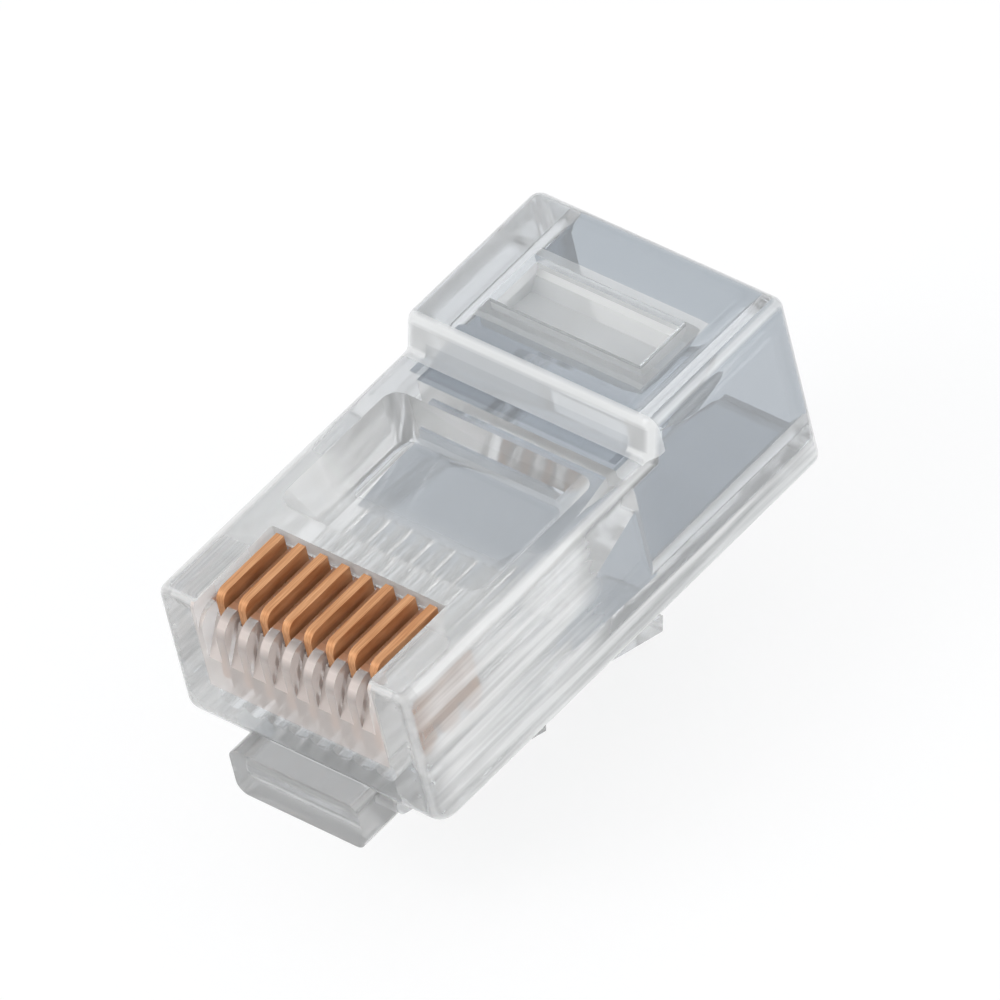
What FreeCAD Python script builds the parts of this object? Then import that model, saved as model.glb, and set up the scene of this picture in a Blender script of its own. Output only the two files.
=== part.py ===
import FreeCAD, Part
import os
import re
import types
import Sketcher

# An eight-way modular plug before it is crimped onto its cable: one clear moulded housing with its
# latch, and eight pierce-through contacts standing proud in their slots.
#
# Frame: X across the plug, Y from the nose back to the cable entry, Z up towards the contacts.
# The origin is the centre of the nose's front face. Heights in the sketches are measured from the
# housing's underside, and every sub-part's Placement lowers it by half the nose height.

os.makedirs("parts", exist_ok=True)
doc = FreeCAD.newDocument("modular_plug")

# ------------------------------------------------------- driving dimensions, in mm and degrees

DIMENSIONS = {
    # housing outside
    "body_width": 11.68,
    "body_length": 21.46,
    "nose_height": 6.6,
    "block_height": 8.0,
    "step_foot": 13.6,
    "step_run": 0.45,
    "step_radius": 0.3,
    "keel_radius": 1.16,
    "outer_radius": 0.55,
    "rim_radius": 0.4,
    # cable cavity, funnel and conductor channels
    "side_wall": 1.2,
    "floor_wall": 1.0,
    "roof_wall": 0.95,
    "cavity_front": 12.9,
    "cavity_radius": 1.2,
    "contact_count": 8,
    "contact_pitch": 1.02,
    "channel_diameter": 1.06,
    "channel_height": 1.95,
    "channel_front": 0.7,
    "channel_length": 7.8,
    "funnel_mouth": 3.5,
    "funnel_overlap": 0.3,
    "throat_margin": 0.12,
    # contacts and their slots
    "blade_thickness": 0.35,
    "blade_front": 0.85,
    "blade_length": 3.4,
    "blade_top": 6.5,
    "blade_nose_radius": 0.45,
    "tine_depth": 0.95,
    "tine_point": 0.35,
    "tine_gap": 0.3,
    "crimp_stroke": 0.6,
    "blade_clearance": 0.04,
    "blade_cover": 0.1,
    "comb_wall": 1.79,
    "comb_land": 0.1,
    "rib_radius": 0.9,
    "guide_width": 0.62,
    "guide_depth": 1.15,
    "guide_drop": 2.6,
    # recess behind the contacts
    "recess_width": 9.5,
    "recess_front": 5.35,
    "recess_length": 6.5,
    "recess_depth": 1.4,
    "recess_side_slope": 1.1,
    "recess_front_slope": 0.25,
    "recess_back_slope": 0.8,
    "recess_corner": 0.8,
    "recess_dish": 0.5,
    # jacket anchor and its window
    "window_width": 7.0,
    "window_front": 16.1,
    "anchor_face": 1.95,
    "anchor_depth": 1.14,
    "anchor_tilt": 0.23,
    "anchor_band": 0.55,
    "anchor_band_rise": 0.7,
    "anchor_height": 1.2,
    "anchor_web": 0.35,
    # latch
    "latch_width": 6.02,
    "root_reach": 1.0,
    "root_rise": 0.85,
    "root_drop": 1.33,
    "root_radius": 0.5,
    "hinge_back": 1.3,
    "hinge_radius": 0.5,
    "hinge_clearance": 0.03,
    "lever_slope": 17.0,
    "shoulder_back": 7.4,
    "tab_width": 3.25,
    "tab_reach": 15.4,
    "tab_thickness": 0.65,
    "tab_radius": 0.2,
}

sheet = doc.addObject("Spreadsheet::Sheet", "dims")
for row, (alias, value) in enumerate(DIMENSIONS.items(), start=1):
    sheet.set("A%d" % row, alias)
    sheet.set("B%d" % row, str(value))
    sheet.setAlias("B%d" % row, alias)
doc.recompute()
size = types.SimpleNamespace(**DIMENSIONS)

# ------------------------------------------------------------- places that several pieces share

SINK = "-nose_height / 2"                                    # underside datum to the frame's origin
FIRST_CONTACT = "-contact_pitch * (contact_count - 1) / 2"
CHANNEL_ROOF = "(channel_height + channel_diameter / 2)"
CHANNEL_END = "(channel_front + channel_length)"
CAVITY_WIDTH = "(body_width - 2 * side_wall)"
BLOCK_ROOF = "(block_height - roof_wall)"
NOSE_ROOF = "(nose_height - roof_wall)"
RIB_TOP = "(blade_top - crimp_stroke + blade_cover)"         # a crimped blade ends below the ribs
COMB_BACK = "(blade_front + blade_length + blade_clearance)"
ANCHOR_BACK = "(window_front + anchor_face)"
ANCHOR_TOP = "(block_height - anchor_depth)"
HINGE_HEIGHT = "(hinge_radius - root_drop)"
OUTSIDE = 1.0                                                # how far a cut runs past a face
NEAR = 0.01                                                  # how close an edge's middle has to be


def bound(expression):
    """The expression with each dimension's name pointed at its cell in the sheet."""
    return re.sub(r"[a-z_]+", lambda word: "dims." + word.group() if word.group() in DIMENSIONS
                  else word.group(), str(expression))


def along(body, role):
    return [item for item in body.Origin.OriginFeatures if item.Role == role][0]


def new_sketch(body, name, role, offset="0"):
    """A sketch on one of the body's own planes, moved along that plane's normal by offset."""
    sketch = body.newObject("Sketcher::SketchObject", name)
    sketch.AttachmentSupport = (along(body, role), [""])
    sketch.MapMode = "FlatFace"
    sketch.setExpression("AttachmentOffset.Base.z", bound(offset))
    return sketch


def pin_point(sketch, geometry, position, across, up):
    """Holds one point of a sketch at two distances from the sketch's origin."""
    for kind, distance in (("DistanceX", across), ("DistanceY", up)):
        index = sketch.addConstraint(Sketcher.Constraint(kind, -1, 1, geometry, position, 1.0))
        sketch.setExpression("Constraints[%d]" % index, bound(distance))


def outline(sketch, corners):
    """A closed outline of straight lines through the corners, each held to the sheet."""
    first = sketch.GeometryCount
    count = len(corners)
    for index in range(count):
        start = FreeCAD.Vector(index, index * index, 0)
        end = FreeCAD.Vector(index + 1, (index + 1) * (index + 1), 0)
        sketch.addGeometry(Part.LineSegment(start, end), False)
    for index in range(count):
        following = first + (index + 1) % count
        sketch.addConstraint(Sketcher.Constraint("Coincident", first + index, 2, following, 1))
    for index, (across, up) in enumerate(corners):
        pin_point(sketch, first + index, 1, across, up)
    return sketch


def round_hole(sketch, across, up, radius):
    """A circle held to the sheet by its centre and radius."""
    circle = Part.Circle(FreeCAD.Vector(0, 0, 0), FreeCAD.Vector(0, 0, 1), 1.0)
    geometry = sketch.addGeometry(circle, False)
    pin_point(sketch, geometry, 3, across, up)
    index = sketch.addConstraint(Sketcher.Constraint("Radius", geometry, 1.0))
    sketch.setExpression("Constraints[%d]" % index, bound(radius))
    return sketch


def rectangle(left, right, low, high):
    return [(left, low), (right, low), (right, high), (left, high)]


def extrude(body, kind, name, sketch, length, midplane=True):
    """A PartDesign pad or pocket of the sketch; a pocket that removes nothing is an error."""
    before = body.Tip.Shape.Volume if body.Tip and kind == "Pocket" else 0.0
    feature = body.newObject("PartDesign::" + kind, name)
    feature.Profile = sketch
    feature.Midplane = midplane
    feature.setExpression("Length", bound(length))
    doc.recompute()
    if kind == "Pocket" and not feature.Shape.Volume < before:
        raise RuntimeError(name + " cuts nothing")
    return feature


def fillet(body, name, edges, radius):
    """Rounds the named edges of the body's last feature."""
    if not edges:
        raise RuntimeError(name + " has no edges to work on")
    base = body.Tip
    feature = body.newObject("PartDesign::Fillet", name)
    feature.Base = (base, edges)
    feature.setExpression("Radius", bound(radius))
    doc.recompute()
    return feature


def edges_at(shape, runs=None, x=None, y=None, z=None, inside=None):
    """Names of the edges whose middle lies at the given places; x is taken on both sides."""
    names = []
    for index, edge in enumerate(shape.Edges, start=1):
        box = edge.BoundBox
        spans = {"X": box.XLength, "Y": box.YLength, "Z": box.ZLength}
        middle = box.Center
        if runs and (spans[runs] < NEAR or max(spans, key=spans.get) != runs):
            continue
        if x is not None and abs(abs(middle.x) - x) > NEAR:
            continue
        if y is not None and abs(middle.y - y) > NEAR:
            continue
        if z is not None and abs(middle.z - z) > NEAR:
            continue
        if inside is not None and not inside(middle):
            continue
        names.append("Edge%d" % index)
    return names


# ------------------------------------------------------------------------------ the housing

def housing_outside(body):
    """The stepped side profile, padded across the plug, with its moulded edges."""
    block_start = "(step_foot + step_run)"
    profile = outline(new_sketch(body, "side_profile", "YZ_Plane"), [
        ("0", "0"), ("body_length", "0"), ("body_length", "block_height"),
        (block_start, "block_height"), ("step_foot", "nose_height"), ("0", "nose_height")])
    extrude(body, "Pad", "body_block", profile, "body_width")
    shape = body.Tip.Shape
    fillet(body, "keel", edges_at(shape, "X", y=0, z=0), "keel_radius")
    shape = body.Tip.Shape
    half = size.body_width / 2
    top = edges_at(shape, x=half, inside=lambda middle: middle.z > size.nose_height - NEAR)
    back = edges_at(shape, "X", y=size.body_length, z=size.block_height)
    back += edges_at(shape, "Z", x=half, y=size.body_length)
    brow = edges_at(shape, "X", z=size.block_height, y=size.step_foot + size.step_run)
    fillet(body, "outer_edges", top + back + brow, "outer_radius")
    shape = body.Tip.Shape
    rim = edges_at(shape, "Y", x=half, z=0)                  # runs on round the nose's front face
    fillet(body, "front_rim", rim, "rim_radius")
    shape = body.Tip.Shape
    foot = edges_at(shape, "X", y=size.step_foot, z=size.nose_height)
    fillet(body, "step_foot_edge", foot, "step_radius")


def latch_root(body):
    """The block that reaches ahead of the nose and carries the latch's flexure."""
    profile = outline(new_sketch(body, "root_profile", "YZ_Plane"), [
        ("-root_reach", "-root_drop"), ("hinge_back", "-root_drop"),
        ("hinge_back", "root_rise"), ("-root_reach", "root_rise")])
    extrude(body, "Pad", "root_block", profile, "latch_width")
    shape = body.Tip.Shape
    half = size.latch_width / 2
    corners = edges_at(shape, "Y", x=half, z=-size.root_drop)
    corners += edges_at(shape, "Y", x=half, inside=lambda middle: middle.y < 0 < middle.z)
    fillet(body, "root_corners", corners, "root_radius")
    seat = round_hole(new_sketch(body, "seat_circle", "YZ_Plane"), "hinge_back", HINGE_HEIGHT,
                      "hinge_radius + hinge_clearance")
    extrude(body, "Pocket", "flexure_seat", seat, "latch_width + 2 * %s" % OUTSIDE)


def cable_cavity(body):
    """The room for the cable's jacket, open at the back."""
    behind = "body_length + %s" % OUTSIDE
    profile = outline(new_sketch(body, "cavity_profile", "YZ_Plane"), [
        ("cavity_front", "floor_wall"), (behind, "floor_wall"), (behind, BLOCK_ROOF),
        ("(step_foot + step_run + roof_wall)", BLOCK_ROOF), ("step_foot", NOSE_ROOF),
        ("cavity_front", NOSE_ROOF)])
    extrude(body, "Pocket", "cavity", profile, CAVITY_WIDTH)
    shape = body.Tip.Shape
    half = size.body_width / 2 - size.side_wall
    corners = edges_at(shape, "Y", x=half, z=size.floor_wall)
    corners += edges_at(shape, "Y", x=half, z=size.block_height - size.roof_wall)
    fillet(body, "cavity_corners", corners, "cavity_radius")


def funnel(body):
    """The tapered lead from the cable cavity down to the conductor channels."""
    width = "(contact_pitch * (contact_count - 1) + channel_diameter + 2 * throat_margin)"
    mouth_width = "(body_width - 2 * side_wall - cavity_radius)"
    mouth_roof = "(floor_wall + funnel_mouth)"
    throat_floor = "(channel_height - channel_diameter / 2 - throat_margin)"
    narrow = outline(new_sketch(body, "funnel_throat", "XZ_Plane", "-" + CHANNEL_END), rectangle(
        "-%s / 2" % width, "%s / 2" % width, throat_floor, CHANNEL_ROOF + " + throat_margin"))
    wide = outline(new_sketch(body, "funnel_mouth_edge", "XZ_Plane",
                              "-(cavity_front + funnel_overlap)"), rectangle(
        "-%s / 2" % mouth_width, "%s / 2" % mouth_width, "floor_wall", mouth_roof))
    loft = body.newObject("PartDesign::SubtractiveLoft", "funnel")
    loft.Profile = wide
    loft.Sections = [narrow]
    loft.Ruled = True
    doc.recompute()


def comb_trough(body):
    """The trough between the nose's side walls, whose floor becomes the tops of the ribs."""
    side = outline(new_sketch(body, "trough_side", "YZ_Plane"), rectangle(
        "-%s" % OUTSIDE, COMB_BACK + " + comb_land", RIB_TOP, "nose_height + %s" % OUTSIDE))
    extrude(body, "Pocket", "trough", side, "body_width - 2 * comb_wall")
    shape = body.Tip.Shape
    rib_top = size.blade_top - size.crimp_stroke + size.blade_cover
    fillet(body, "rib_fronts", edges_at(shape, "X", y=0, z=rib_top), "rib_radius")


def contact_comb(body):
    """A conductor channel, a blade slot and a wider guide slot, repeated for every contact."""
    channel = round_hole(new_sketch(body, "channel_circle", "XZ_Plane", "-channel_front"),
                         FIRST_CONTACT, "channel_height", "channel_diameter / 2")
    first = [extrude(body, "Pocket", "channel", channel, "channel_length + funnel_overlap",
                     midplane=False)]
    above = "nose_height + %s" % OUTSIDE
    blade = outline(new_sketch(body, "blade_slot_side", "YZ_Plane", FIRST_CONTACT), rectangle(
        "blade_front - blade_clearance", COMB_BACK, "channel_height", above))
    first.append(extrude(body, "Pocket", "blade_slot", blade,
                         "blade_thickness + 2 * blade_clearance"))
    ahead = "-%s" % OUTSIDE
    guide = outline(new_sketch(body, "guide_slot_side", "YZ_Plane", FIRST_CONTACT), [
        (ahead, "nose_height - guide_drop"), ("0", "nose_height - guide_drop"),
        ("blade_front", "nose_height - guide_depth"), (COMB_BACK, "nose_height - guide_depth"),
        (COMB_BACK, above), (ahead, above)])
    first.append(extrude(body, "Pocket", "guide_slot", guide, "guide_width"))
    comb = body.newObject("PartDesign::LinearPattern", "contact_comb")
    comb.Originals = first
    comb.Direction = (along(body, "X_Axis"), [""])
    comb.setExpression("Length", bound("contact_pitch * (contact_count - 1)"))
    comb.setExpression("Occurrences", bound("contact_count"))
    body.Tip = comb
    doc.recompute()


def recess(body):
    """The shallow recess behind the contacts, with sloped walls and rounded corners."""
    back = "(recess_front + recess_length)"
    half = "(recess_width / 2)"
    rim = outline(new_sketch(body, "recess_rim", "XY_Plane", "nose_height"), rectangle(
        "-" + half, half, "recess_front", back))
    inner = "(%s - recess_side_slope)" % half
    floor = outline(new_sketch(body, "recess_floor", "XY_Plane", "nose_height - recess_depth"),
                    rectangle("-" + inner, inner, "recess_front + recess_front_slope",
                              back + " - recess_back_slope"))
    loft = body.newObject("PartDesign::SubtractiveLoft", "recess")
    loft.Profile = rim
    loft.Sections = [floor]
    loft.Ruled = True
    doc.recompute()
    middle_height = size.nose_height - size.recess_depth / 2
    middle_side = size.recess_width / 2 - size.recess_side_slope / 2
    corners = edges_at(body.Tip.Shape, x=middle_side, z=middle_height)
    fillet(body, "recess_corners", corners, "recess_corner")
    floor_height = size.nose_height - size.recess_depth
    rim_half = size.recess_width / 2
    loop = edges_at(body.Tip.Shape, z=floor_height, inside=lambda middle: abs(middle.x) < rim_half)
    fillet(body, "recess_dish", loop, "recess_dish")


def jacket_anchor(body):
    """The wedge that a crimp presses on the cable's jacket, and the blind window above it."""
    top = BLOCK_ROOF + " + anchor_web"
    wedge = outline(new_sketch(body, "anchor_profile", "YZ_Plane"), [
        ("window_front - anchor_web", top),
        ("window_front - anchor_web", ANCHOR_TOP + " - anchor_height / 2"),
        ("(window_front + anchor_face / 2)", ANCHOR_TOP + " - anchor_height"),
        (ANCHOR_BACK + " + anchor_web", ANCHOR_TOP + " - anchor_height / 2"),
        (ANCHOR_BACK + " + anchor_band + anchor_web", BLOCK_ROOF),
        (ANCHOR_BACK + " + anchor_band + anchor_web", top)])
    extrude(body, "Pad", "anchor_wedge", wedge, "window_width + 2 * anchor_web")
    above = "block_height + %s" % OUTSIDE
    window = outline(new_sketch(body, "window_profile", "YZ_Plane"), [
        ("window_front", above), ("window_front", ANCHOR_TOP),
        (ANCHOR_BACK, ANCHOR_TOP + " - anchor_tilt"),
        (ANCHOR_BACK + " + anchor_band", ANCHOR_TOP + " - anchor_tilt + anchor_band_rise"),
        (ANCHOR_BACK + " + anchor_band", above)])
    extrude(body, "Pocket", "window", window, "window_width")


def build_housing():
    body = doc.addObject("PartDesign::Body", "housing")
    body.Label = "housing"
    housing_outside(body)
    latch_root(body)
    cable_cavity(body)
    funnel(body)
    comb_trough(body)
    contact_comb(body)
    recess(body)
    jacket_anchor(body)
    body.setExpression("Placement.Base.z", bound(SINK))
    return body


# -------------------------------------------------------------------------- the latch lever

def build_latch():
    """The lever that springs from the root's flexure: wide to its shoulders, then a narrow tab."""
    body = doc.addObject("PartDesign::Body", "latch_lever")
    body.Label = "latch_lever"
    end = round_hole(new_sketch(body, "flexure_circle", "YZ_Plane"), "0", "0", "hinge_radius")
    extrude(body, "Pad", "flexure", end, "latch_width")
    profile = outline(new_sketch(body, "lever_profile", "YZ_Plane"), [
        ("0", "-hinge_radius"), ("tab_reach", "-hinge_radius"),
        ("tab_reach", "tab_thickness - hinge_radius"), ("0", "hinge_radius")])
    extrude(body, "Pad", "lever", profile, "latch_width")
    sides = new_sketch(body, "shoulder_outline", "XY_Plane")
    beyond = "tab_reach + %s" % OUTSIDE
    outline(sides, rectangle("-latch_width", "-tab_width / 2", "shoulder_back", beyond))
    outline(sides, rectangle("tab_width / 2", "latch_width", "shoulder_back", beyond))
    extrude(body, "Pocket", "shoulders", sides, "4 * hinge_radius")
    shape = body.Tip.Shape
    tip = edges_at(shape, "Z", x=size.tab_width / 2, y=size.tab_reach)
    tip += edges_at(shape, "X", y=size.tab_reach)
    fillet(body, "tab_end", tip, "tab_radius")
    body.setExpression("Placement.Base.y", bound("hinge_back"))
    body.setExpression("Placement.Base.z", bound(HINGE_HEIGHT + " + " + SINK))
    body.Placement = FreeCAD.Placement(body.Placement.Base,
                                       FreeCAD.Rotation(FreeCAD.Vector(1, 0, 0), 0))
    body.setExpression("Placement.Rotation.Angle", bound("-lever_slope"))
    return body


# ------------------------------------------------------------------------------ the contacts

def blade_corners():
    """The blade's side outline: a straight top, and three piercing tines below."""
    tip = CHANNEL_ROOF
    root = "(%s + tine_depth)" % CHANNEL_ROOF
    tines = 3
    width = "((blade_length - %d * tine_gap) / %d)" % (tines - 1, tines)
    corners = [("blade_front", "blade_top")]
    for tine in range(tines):
        start = "blade_front + %d * (%s + tine_gap)" % (tine, width)
        if tine:
            corners.append((start, root))
        corners += [(start, tip + " + tine_point"), (start + " + %s / 2" % width, tip),
                    (start + " + " + width, tip + " + tine_point")]
        if tine < tines - 1:
            corners.append((start + " + " + width, root))
    corners.append(("blade_front + blade_length", "blade_top"))
    return corners


def build_contact(number):
    """One stamped blade, standing proud in its slot before the crimp drives it down."""
    name = "contact_%d" % (number + 1)
    body = doc.addObject("PartDesign::Body", name)
    body.Label = name
    profile = outline(new_sketch(body, "blade_profile_%d" % (number + 1), "YZ_Plane"),
                      blade_corners())
    extrude(body, "Pad", "blade_%d" % (number + 1), profile, "blade_thickness")
    nose = edges_at(body.Tip.Shape, "X", y=size.blade_front, z=size.blade_top)
    fillet(body, "blade_nose_%d" % (number + 1), nose, "blade_nose_radius")
    body.setExpression("Placement.Base.x", bound("%s + %d * contact_pitch" % (FIRST_CONTACT, number)))
    body.setExpression("Placement.Base.z", bound(SINK))
    return body


pieces = [build_housing(), build_latch()]
pieces += [build_contact(number) for number in range(size.contact_count)]
doc.recompute()

# ------------------------------------------------------------------------------ check and write

for item in doc.Objects:
    if "Invalid" in item.State or "Error" in item.State:
        raise RuntimeError("%s failed: %s" % (item.Name, item.State))
for piece in pieces:
    if piece.Shape.isNull() or not piece.Shape.isValid() or len(piece.Shape.Solids) != 1:
        raise RuntimeError(piece.Label + " is not one valid solid")
    piece.Shape.exportStep("parts/%s.step" % piece.Label)
    print("%-12s %8.2f mm3" % (piece.Label, piece.Shape.Volume))
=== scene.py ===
import math

import bpy
from mathutils import Matrix, Vector


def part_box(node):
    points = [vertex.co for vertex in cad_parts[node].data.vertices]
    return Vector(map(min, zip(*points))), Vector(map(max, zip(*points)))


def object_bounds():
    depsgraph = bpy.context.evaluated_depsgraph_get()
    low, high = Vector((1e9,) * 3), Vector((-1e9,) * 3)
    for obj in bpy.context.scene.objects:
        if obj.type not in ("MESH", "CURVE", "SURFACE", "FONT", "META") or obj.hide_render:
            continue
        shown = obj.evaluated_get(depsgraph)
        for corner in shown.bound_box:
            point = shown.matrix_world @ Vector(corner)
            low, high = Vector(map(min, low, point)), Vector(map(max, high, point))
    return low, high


# The finish, floor, light and camera of an uncrimped eight-way modular plug: a clear housing with
# its latch, and eight gold-flashed contacts. Every shape comes from the frame.

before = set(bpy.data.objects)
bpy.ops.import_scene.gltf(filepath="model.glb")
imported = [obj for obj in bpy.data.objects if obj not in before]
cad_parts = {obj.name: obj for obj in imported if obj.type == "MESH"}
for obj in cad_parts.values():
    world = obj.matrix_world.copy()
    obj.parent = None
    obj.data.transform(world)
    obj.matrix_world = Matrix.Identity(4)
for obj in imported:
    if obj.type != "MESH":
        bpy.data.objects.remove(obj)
cad_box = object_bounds()

MM = 0.001
HALF_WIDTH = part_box("housing")[1].x / MM


# ------------------------------------------------------------------------------ small helpers

def linear(hex_colour):
    """An sRGB hex colour as linear RGBA."""
    channels = [int(hex_colour[index:index + 2], 16) / 255 for index in (1, 3, 5)]
    return [c / 12.92 if c <= 0.04045 else ((c + 0.055) / 1.055) ** 2.4 for c in channels] + [1.0]


def add(tree, kind, settings=None, links=None):
    """Adds a node: settings go to its properties or input sockets, links name source sockets."""
    node = tree.nodes.new(kind)
    for name, value in (settings or {}).items():
        if isinstance(name, str) and hasattr(node, name):
            setattr(node, name, value)
        else:
            node.inputs[name].default_value = value
    for name, source in (links or {}).items():
        tree.links.new(source, node.inputs[name])
    return node


def new_material(name):
    """An empty material and its node tree."""
    material = bpy.data.materials.new(name)
    material.use_nodes = True
    material.node_tree.nodes.clear()
    return material, material.node_tree


def dress(obj, material):
    """Gives the object this one material."""
    obj.data.materials.clear()
    obj.data.materials.append(material)


def link_object(name, data):
    """A new object of this data, linked to the scene."""
    obj = bpy.data.objects.new(name, data)
    bpy.context.scene.collection.objects.link(obj)
    return obj


# ------------------------------------------------------------------------ places on the housing

# Where the housing's look changes. Each place is a box: its middle and its reach either way, in mm
# from the frame's origin, and the share of that reach over which it fades out. X is taken without
# its sign, as left and right are alike. The brow is the cable block's front edge over the recess.
SHARP = 0.01
PLACES = {
    "cable_block": ((0, 19.0, 0.7), (6.0, 5.6, 4.2), 0.15),
    "cavity": ((0, 17.5, 0.72), (4.7, 4.7, 3.1), SHARP),
    "cavity_sides": ((4.64, 17.5, 0.72), (0.15, 4.7, 3.0), SHARP),
    "cavity_floor": ((0, 17.5, -2.3), (4.7, 4.7, 0.1), SHARP),
    "funnel": ((0, 10.4, -0.5), (4.6, 2.5, 1.9), SHARP),
    "anchor": ((0, 17.4, 3.2), (3.9, 1.9, 1.1), SHARP),
    "brow": ((0, 13.8, 3.95), (5.9, 0.5, 0.75), SHARP),
    "recess": ((0, 8.6, 2.6), (4.9, 3.45, 0.8), SHARP),
    "channel_cover": ((0, 5.6, 2.6), (4.9, 2.2, 0.8), 0.4),
    "rib_fronts": ((0, 0.5, 1.2), (4.2, 0.7, 2.0), SHARP),
    "rib_tops": ((0, 2.6, 2.7), (4.05, 1.7, 0.1), SHARP),
    "nose_sides": ((HALF_WIDTH, 5.0, -0.3), (0.5, 4.4, 4.0), 0.25),
    "nose_corners": ((HALF_WIDTH, 0, -0.3), (0.7, 0.7, 3.6), 0.1),
    "keel": ((5.2, 11.4, -2.9), (0.8, 10.8, 0.9), 0.1),
    "latch_root": ((0, -0.2, -3.5), (3.1, 0.9, 1.2), SHARP),
}


def largest_part(tree, vector):
    """The socket of the largest of a vector's three parts, each without its sign."""
    bare = add(tree, "ShaderNodeVectorMath", {"operation": "ABSOLUTE"}, {0: vector})
    parts = add(tree, "ShaderNodeSeparateXYZ", links={0: bare.outputs["Vector"]})
    level = add(tree, "ShaderNodeMath", {"operation": "MAXIMUM"},
                {0: parts.outputs["X"], 1: parts.outputs["Y"]})
    return add(tree, "ShaderNodeMath", {"operation": "MAXIMUM"},
               {0: level.outputs["Value"], 1: parts.outputs["Z"]}).outputs["Value"]


def mask_of(tree, folded, place):
    """The socket of a mask that is 1 in the place's box and fades to 0 across its sides."""
    middle, reach, fade = place
    scale = [1 / (length * MM) for length in reach]
    offset = [-centre / length for centre, length in zip(middle, reach)]
    boxed = add(tree, "ShaderNodeMapping", {"Scale": scale, "Location": offset}, {"Vector": folded})
    mask = add(tree, "ShaderNodeMapRange", {
        "interpolation_type": "SMOOTHSTEP", "From Min": 1 - fade, "From Max": 1 + fade,
        "To Min": 1.0, "To Max": 0.0}, {"Value": largest_part(tree, boxed.outputs["Vector"])})
    return mask.outputs["Result"]


# -------------------------------------------------------------------------- clear polycarbonate

# The sockets that a Mix node uses once it is set to colours.
COLOUR_A, COLOUR_B, COLOUR_OUT = 6, 7, 2

MOULDED_CLEAR = "#f0f2f4"
# The cable block's greyer tint is painted shade, laid over the plastic's own clear tint.
BLOCK_PAINTED_SHADE = "#d8dde2"
# Painted shade round the cable cavity: grey at the front, darker at the rear.
FRONT_CAVITY_PAINTED_SHADE, REAR_CAVITY_PAINTED_SHADE = "#b4bcc5", "#74808c"
CAVITY_SHADE_DEEPENS = (15, 20)                     # between these, in mm back from the nose
# Painted shade inside the cavity, in the funnel and on the latch's root; the anchor is given back
# the clear tint, out of the cavity's painted shade.
PLACE_PAINTED_SHADES = {
    "cavity_sides": "#75808c",
    "cavity_floor": "#b4bcc5",
    "anchor": MOULDED_CLEAR,
    "funnel": "#aab2bb",
    "latch_root": "#b4b5b6",
}

# Haze is the share of the surface that scatters light, where the rest of it is clear. At a glancing
# angle and along the moulded edges it is painted highlight, to make the rims light.
FACING_HAZE, GLANCING_PAINTED_HIGHLIGHT = 0.03, 0.42
EDGE_PAINTED_HIGHLIGHT = 0.58
FLOW_HAZE = (0.14, 0.76)                     # between the flow lines, and on them
FLOW_LEVELS = (0.35, 0.65)                   # of the noise, at which these are reached
# Extra haze in some places: painted light on the anchor and the brow, and with the ribs' colours the
# painted reflection of the contacts; the channel cover is hazier.
PLACE_HAZES_AND_PAINTED_LIGHT = {
    "anchor": 0.5,
    "brow": 0.4,
    "channel_cover": 0.42,
    "rib_fronts": 0.25,
    "rib_tops": 0.7,
}
# The share of the painted edge highlight that is taken away in these places.
EDGE_HIGHLIGHT_LOSSES = {
    "cavity": 1.0,
    "recess": 0.6,
    "nose_corners": 0.5,
}
# The largest part of the surface's normal, well into a rounded edge and on a flat face.
ON_EDGE, ON_FACE = 0.80, 0.98

MILK = "#f6f6f4"
RIB_FRONT_PAINTED_REFLECTION = "#f0e2da"                   # painted reflection: pinkish, for the contacts behind
RIB_TOP_PAINTED_REFLECTION = "#b98058"                     # painted reflection: the contacts' colour, thrown back between them
MILK_THROWN_BACK = 0.7                       # the rest of the scattered light goes inwards

# In mm. The mould's polish leaves a slow ripple. Real flow lines are hair-fine: these are drawn
# 0.5 mm wide and 9 mm long, so that they show.
RIPPLE = 1.2
FLOW_LINE = (0.5, 9, 0.5)


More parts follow.
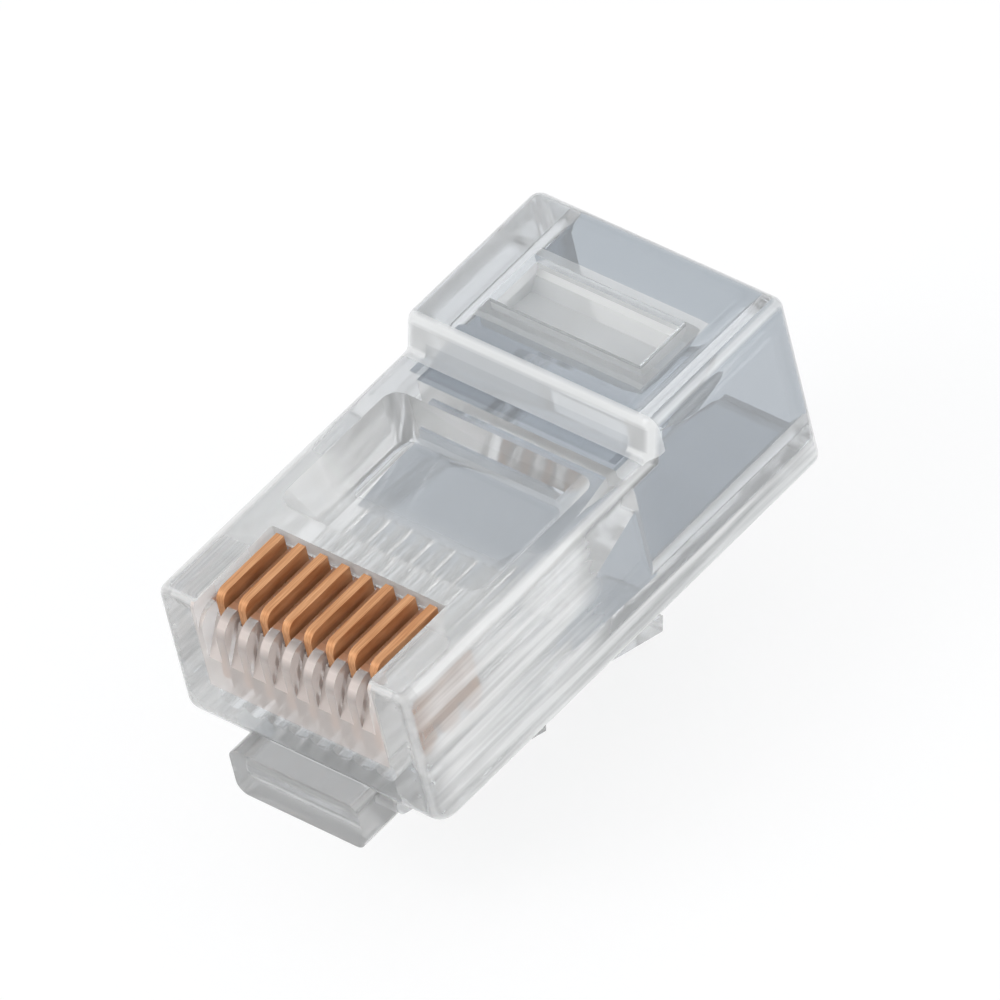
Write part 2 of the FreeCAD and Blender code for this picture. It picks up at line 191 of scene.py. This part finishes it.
def polycarbonate_body(tree, coordinates, where, masks):
    """The shader socket of the clear body: glossy, barely rippled, with painted shade in the cable
    block, round the cavity and in some places inside and under it.
    """
    ripple = add(tree, "ShaderNodeTexNoise", {"Scale": 1 / (RIPPLE * MM), "Detail": 2.0},
                 {"Vector": coordinates.outputs["Object"]})
    bump = add(tree, "ShaderNodeBump", {"Strength": 0.06, "Distance": 0.05 * MM},
               {"Height": ripple.outputs["Fac"]})

    # Painted shade round the cavity, deepening towards the rear.
    rearward = add(tree, "ShaderNodeMapRange", {
        "interpolation_type": "SMOOTHSTEP", "From Min": CAVITY_SHADE_DEEPENS[0] * MM,
        "From Max": CAVITY_SHADE_DEEPENS[1] * MM}, {"Value": where.outputs["Y"]})
    cavity_painted_shade = add(tree, "ShaderNodeMix", {
        "data_type": "RGBA", COLOUR_A: linear(FRONT_CAVITY_PAINTED_SHADE), COLOUR_B: linear(REAR_CAVITY_PAINTED_SHADE)},
        {0: rearward.outputs["Result"]})
    tint_and_painted_shade = add(tree, "ShaderNodeMix", {
        "data_type": "RGBA", COLOUR_A: linear(MOULDED_CLEAR), COLOUR_B: linear(BLOCK_PAINTED_SHADE)},
        {0: masks["cable_block"]})
    tint_and_painted_shade = add(tree, "ShaderNodeMix", {"data_type": "RGBA"}, {
        0: masks["cavity"], COLOUR_A: tint_and_painted_shade.outputs[COLOUR_OUT],
        COLOUR_B: cavity_painted_shade.outputs[COLOUR_OUT]})
    # Painted shade in these places.
    for place, colour in PLACE_PAINTED_SHADES.items():
        tint_and_painted_shade = add(tree, "ShaderNodeMix", {"data_type": "RGBA", COLOUR_B: linear(colour)},
                   {0: masks[place], COLOUR_A: tint_and_painted_shade.outputs[COLOUR_OUT]})

    body = add(tree, "ShaderNodeBsdfPrincipled", {
        "Roughness": 0.03, "IOR": 1.585, "Transmission Weight": 1.0},
        {"Base Color": tint_and_painted_shade.outputs[COLOUR_OUT], "Normal": bump.outputs["Normal"]})
    return body.outputs["BSDF"]


def polycarbonate_skin(tree, masks):
    """The shader socket of the hazy skin: some light is thrown back milky, the rest goes inwards.
    Over the ribs the milk carries the contacts' colour as painted reflection.
    """
    milk_and_painted_reflection = add(tree, "ShaderNodeMix", {
        "data_type": "RGBA", COLOUR_A: linear(MILK), COLOUR_B: linear(RIB_FRONT_PAINTED_REFLECTION)},
        {0: masks["rib_fronts"]})
    milk_and_painted_reflection = add(tree, "ShaderNodeMix", {"data_type": "RGBA", COLOUR_B: linear(RIB_TOP_PAINTED_REFLECTION)},
               {0: masks["rib_tops"], COLOUR_A: milk_and_painted_reflection.outputs[COLOUR_OUT]})
    inwards = add(tree, "ShaderNodeBsdfTranslucent", {"Color": linear("#ffffff")})
    back = add(tree, "ShaderNodeBsdfPrincipled", {"Roughness": 0.12},
               {"Base Color": milk_and_painted_reflection.outputs[COLOUR_OUT]})
    skin = add(tree, "ShaderNodeMixShader", {0: MILK_THROWN_BACK},
               {1: inwards.outputs["BSDF"], 2: back.outputs["BSDF"]})
    return skin.outputs["Shader"]


def edge_painted_highlight(tree, coordinates, masks):
    """The socket of the painted highlight along moulded edges, whose normals point along none of the
    axes: milky haze laid there to make the rims light.
    """
    edge = add(tree, "ShaderNodeMapRange", {
        "From Min": ON_EDGE, "From Max": ON_FACE, "To Min": EDGE_PAINTED_HIGHLIGHT, "To Max": 0.0},
        {"Value": largest_part(tree, coordinates.outputs["Normal"])}).outputs["Result"]
    for place, loss in EDGE_HIGHLIGHT_LOSSES.items():
        left = add(tree, "ShaderNodeMath", {"operation": "MULTIPLY_ADD", 1: -loss, 2: 1.0},
                   {0: masks[place]})
        edge = add(tree, "ShaderNodeMath", {"operation": "MULTIPLY"},
                   {0: edge, 1: left.outputs["Value"]}).outputs["Value"]
    return edge


def flow_haze(tree, coordinates, masks):
    """The socket of the haze in the flow lines that run along the nose's sides and the keel."""
    flow = add(tree, "ShaderNodeMapping", {"Scale": [1 / (length * MM) for length in FLOW_LINE]},
               {"Vector": coordinates.outputs["Object"]})
    streak = add(tree, "ShaderNodeTexNoise", {"Scale": 1.0, "Detail": 2.0},
                 {"Vector": flow.outputs["Vector"]})
    lines = add(tree, "ShaderNodeMapRange", {
        "From Min": FLOW_LEVELS[0], "From Max": FLOW_LEVELS[1],
        "To Min": FLOW_HAZE[0], "To Max": FLOW_HAZE[1]}, {"Value": streak.outputs["Fac"]})
    lined = add(tree, "ShaderNodeMath", {"operation": "MAXIMUM"},
                {0: masks["nose_sides"], 1: masks["keel"]})
    return add(tree, "ShaderNodeMath", {"operation": "MULTIPLY"},
               {0: lines.outputs["Result"], 1: lined.outputs["Value"]}).outputs["Value"]


def polycarbonate_haze(tree, coordinates, masks):
    """The socket of the hazy skin's share: more at a glancing angle and along the edges, as painted
    highlight, and more in some places.
    """
    # Painted highlight: more milky haze at a glancing angle, to light the rims.
    glancing = add(tree, "ShaderNodeLayerWeight", {"Blend": 0.35})
    haze = add(tree, "ShaderNodeMapRange", {"To Min": FACING_HAZE, "To Max": GLANCING_PAINTED_HIGHLIGHT},
               {"Value": glancing.outputs["Facing"]}).outputs["Result"]
    parts = [(edge_painted_highlight(tree, coordinates, masks), 1.0), (flow_haze(tree, coordinates, masks), 1.0)]
    parts += [(masks[place], share) for place, share in PLACE_HAZES_AND_PAINTED_LIGHT.items()]
    for part, share in parts:
        haze = add(tree, "ShaderNodeMath", {"operation": "MULTIPLY_ADD", 1: share},
                   {0: part, 2: haze}).outputs["Value"]
    return add(tree, "ShaderNodeMath", {"operation": "MINIMUM", 1: 1.0}, {0: haze}).outputs["Value"]


def clear_polycarbonate():
    """Injection-moulded polycarbonate: clear and glossy, with painted shade round the cable cavity
    and in the cable block.

    A light haze in its skin, stronger where a face is seen at a glancing angle and along the moulded
    edges, is painted highlight; the haze also draws flow lines along the nose and keel, and is laid
    more thickly in some places, partly as painted light.
    """
    material, tree = new_material("clear_polycarbonate")
    coordinates = add(tree, "ShaderNodeTexCoord")
    where = add(tree, "ShaderNodeSeparateXYZ", links={0: coordinates.outputs["Object"]})
    across = add(tree, "ShaderNodeMath", {"operation": "ABSOLUTE"}, {0: where.outputs["X"]})
    folded = add(tree, "ShaderNodeCombineXYZ", links={
        0: across.outputs["Value"], 1: where.outputs["Y"], 2: where.outputs["Z"]})
    masks = {name: mask_of(tree, folded.outputs["Vector"], place)
             for name, place in PLACES.items()}
    mix = add(tree, "ShaderNodeMixShader", links={
        0: polycarbonate_haze(tree, coordinates, masks),
        1: polycarbonate_body(tree, coordinates, where, masks),
        2: polycarbonate_skin(tree, masks)})
    add(tree, "ShaderNodeOutputMaterial", links={"Surface": mix.outputs["Shader"]})
    return material


# -------------------------------------------------------------------------- gold-flashed bronze

# Lines that drawing leaves in the strip, in mm. Real ones are a few microns wide: these are drawn
# 0.05 mm wide, so that they show.
DRAWN_LINE = (0.05, 1.5, 0.3)
# Thinly and fully flashed, each with the level of the noise at which it is reached.
TONES = ((0.3, "#b77a4b"), (0.7, "#dca678"))
SATIN = (0.32, 0.5)


def gold_flashed_bronze():
    """Phosphor-bronze strip with a thin gold flash: warm, satin, drawn along the blade."""
    material, tree = new_material("gold_flashed_bronze")
    coordinates = add(tree, "ShaderNodeTexCoord")
    grain = add(tree, "ShaderNodeMapping", {"Scale": [1 / (length * MM) for length in DRAWN_LINE]},
                {"Vector": coordinates.outputs["Object"]})
    streak = add(tree, "ShaderNodeTexNoise", {"Scale": 1.0, "Detail": 3.0},
                 {"Vector": grain.outputs["Vector"]})
    tone = add(tree, "ShaderNodeValToRGB", links={"Fac": streak.outputs["Fac"]})
    for stop, (level, colour) in zip(tone.color_ramp.elements, TONES):
        stop.position = level
        stop.color = linear(colour)
    rough = add(tree, "ShaderNodeMapRange", {"To Min": SATIN[0], "To Max": SATIN[1]},
                {"Value": streak.outputs["Fac"]})
    shader = add(tree, "ShaderNodeBsdfPrincipled", {"Metallic": 0.45}, {
        "Base Color": tone.outputs["Color"], "Roughness": rough.outputs["Result"]})
    add(tree, "ShaderNodeOutputMaterial", links={"Surface": shader.outputs["BSDF"]})
    return material


# ----------------------------------------------------------------------------------- the studio

# The camera looks at this point of the plug, in mm from the frame's origin. Its angles are in
# degrees: the azimuth is 0 in front of the nose and grows towards +X.
CAMERA_AIM = Vector((0.380, 11.026, 0.956))
CAMERA_DISTANCE = 800
CAMERA_AZIMUTH = 50.09
CAMERA_ELEVATION = 42.91
CAMERA_ROLL = -14.42
CAMERA_LENS = 822.3                          # mm, before a sensor 36 mm wide
CAMERA_SIGHT = 10                            # m, how far it sees

FLOOR_REACH = 2.0                            # m, from its middle to each side
FLOOR_GAP = 0.5 * MM                         # under the latch's lowest point
PAPER_GLOW = 0.8                             # the rest of its white is lit, and takes the shadow

LAMP_SIDE = 0.10                             # m
LAMP_AIM = Vector((0, 0.01, 0))
LIGHT_BOUNCES = 14                           # enough to cross every wall of the clear housing


def make_camera():
    """A long lens in front, to the right and above, rolled so that the plug lies aslant."""
    data = bpy.data.cameras.new("camera")
    data.lens = CAMERA_LENS
    data.clip_end = CAMERA_SIGHT
    camera = link_object("camera", data)
    azimuth = math.radians(CAMERA_AZIMUTH)
    elevation = math.radians(CAMERA_ELEVATION)
    away = Vector((math.sin(azimuth) * math.cos(elevation),
                   -math.cos(azimuth) * math.cos(elevation), math.sin(elevation)))
    look = away.to_track_quat("Z", "Y").to_matrix()
    roll = Matrix.Rotation(math.radians(CAMERA_ROLL), 3, "Z")
    spot = (CAMERA_AIM + away * CAMERA_DISTANCE) * MM
    camera.matrix_world = Matrix.Translation(spot) @ (look @ roll).to_4x4()
    bpy.context.scene.camera = camera


def background_rays(tree):
    """The socket that is 1 on rays that show the background: straight, mirrored or let through."""
    paths = add(tree, "ShaderNodeLightPath")
    straight_or_mirrored = add(tree, "ShaderNodeMath", {"operation": "MAXIMUM"}, {
        0: paths.outputs["Is Camera Ray"], 1: paths.outputs["Is Glossy Ray"]})
    return add(tree, "ShaderNodeMath", {"operation": "MAXIMUM"}, {
        0: straight_or_mirrored.outputs["Value"],
        1: paths.outputs["Is Transmission Ray"]}).outputs["Value"]


def sweep_paper():
    """White sweep paper: white to the eye and behind clear plastic, and it still takes a shadow."""
    material, tree = new_material("sweep_paper")
    paper = add(tree, "ShaderNodeBsdfDiffuse", {"Color": linear("#ffffff")})
    glow = add(tree, "ShaderNodeEmission", {"Color": linear("#ffffff"), "Strength": 1.0})
    share = add(tree, "ShaderNodeMath", {"operation": "MULTIPLY", 1: PAPER_GLOW},
                {0: background_rays(tree)})
    mix = add(tree, "ShaderNodeMixShader", links={
        0: share.outputs["Value"], 1: paper.outputs["BSDF"], 2: glow.outputs["Emission"]})
    add(tree, "ShaderNodeOutputMaterial", links={"Surface": mix.outputs["Shader"]})
    return material


def make_floor():
    """A wide sheet of sweep paper just under the plug."""
    height = cad_box[0][2] - FLOOR_GAP
    corners = [(x * FLOOR_REACH, y * FLOOR_REACH, height)
               for x, y in ((-1, -1), (1, -1), (1, 1), (-1, 1))]
    mesh = bpy.data.meshes.new("sweep_paper")
    mesh.from_pydata(corners, [], [(0, 1, 2, 3)])
    floor = link_object("sweep_paper", mesh)
    dress(floor, sweep_paper())


def make_world():
    """A pale room that shows as plain white."""
    world = bpy.data.worlds.new("studio")
    bpy.context.scene.world = world
    world.use_nodes = True
    tree = world.node_tree
    tree.nodes.clear()
    white = add(tree, "ShaderNodeBackground", {"Color": linear("#ffffff"), "Strength": 1.0})
    room = add(tree, "ShaderNodeBackground", {"Color": linear("#eef0f3"), "Strength": 1.0})
    mix = add(tree, "ShaderNodeMixShader", links={
        0: background_rays(tree), 1: room.outputs["Background"], 2: white.outputs["Background"]})
    add(tree, "ShaderNodeOutputWorld", links={"Surface": mix.outputs["Shader"]})


def softbox(name, place, watts):
    """A square lamp at this place, in metres, turned to the plug."""
    data = bpy.data.lights.new(name, "AREA")
    data.shape = "SQUARE"
    data.size = LAMP_SIDE
    data.energy = watts
    lamp = link_object(name, data)
    lamp.location = place
    lamp.rotation_euler = (LAMP_AIM - Vector(place)).to_track_quat("-Z", "Y").to_euler()


# ------------------------------------------------------------------------------ the dressed plug

make_camera()
make_floor()
make_world()
softbox("key", (-0.06, -0.14, 0.16), 0.12)
softbox("fill", (0.18, 0.10, 0.08), 0.06)

moulding = clear_polycarbonate()
blade = gold_flashed_bronze()
for name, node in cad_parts.items():
    dress(node, blade if name.startswith("contact") else moulding)

bpy.context.scene.cycles.max_bounces = LIGHT_BOUNCES
bpy.context.scene.cycles.transmission_bounces = LIGHT_BOUNCES
bpy.context.scene.view_settings.view_transform = "Standard"
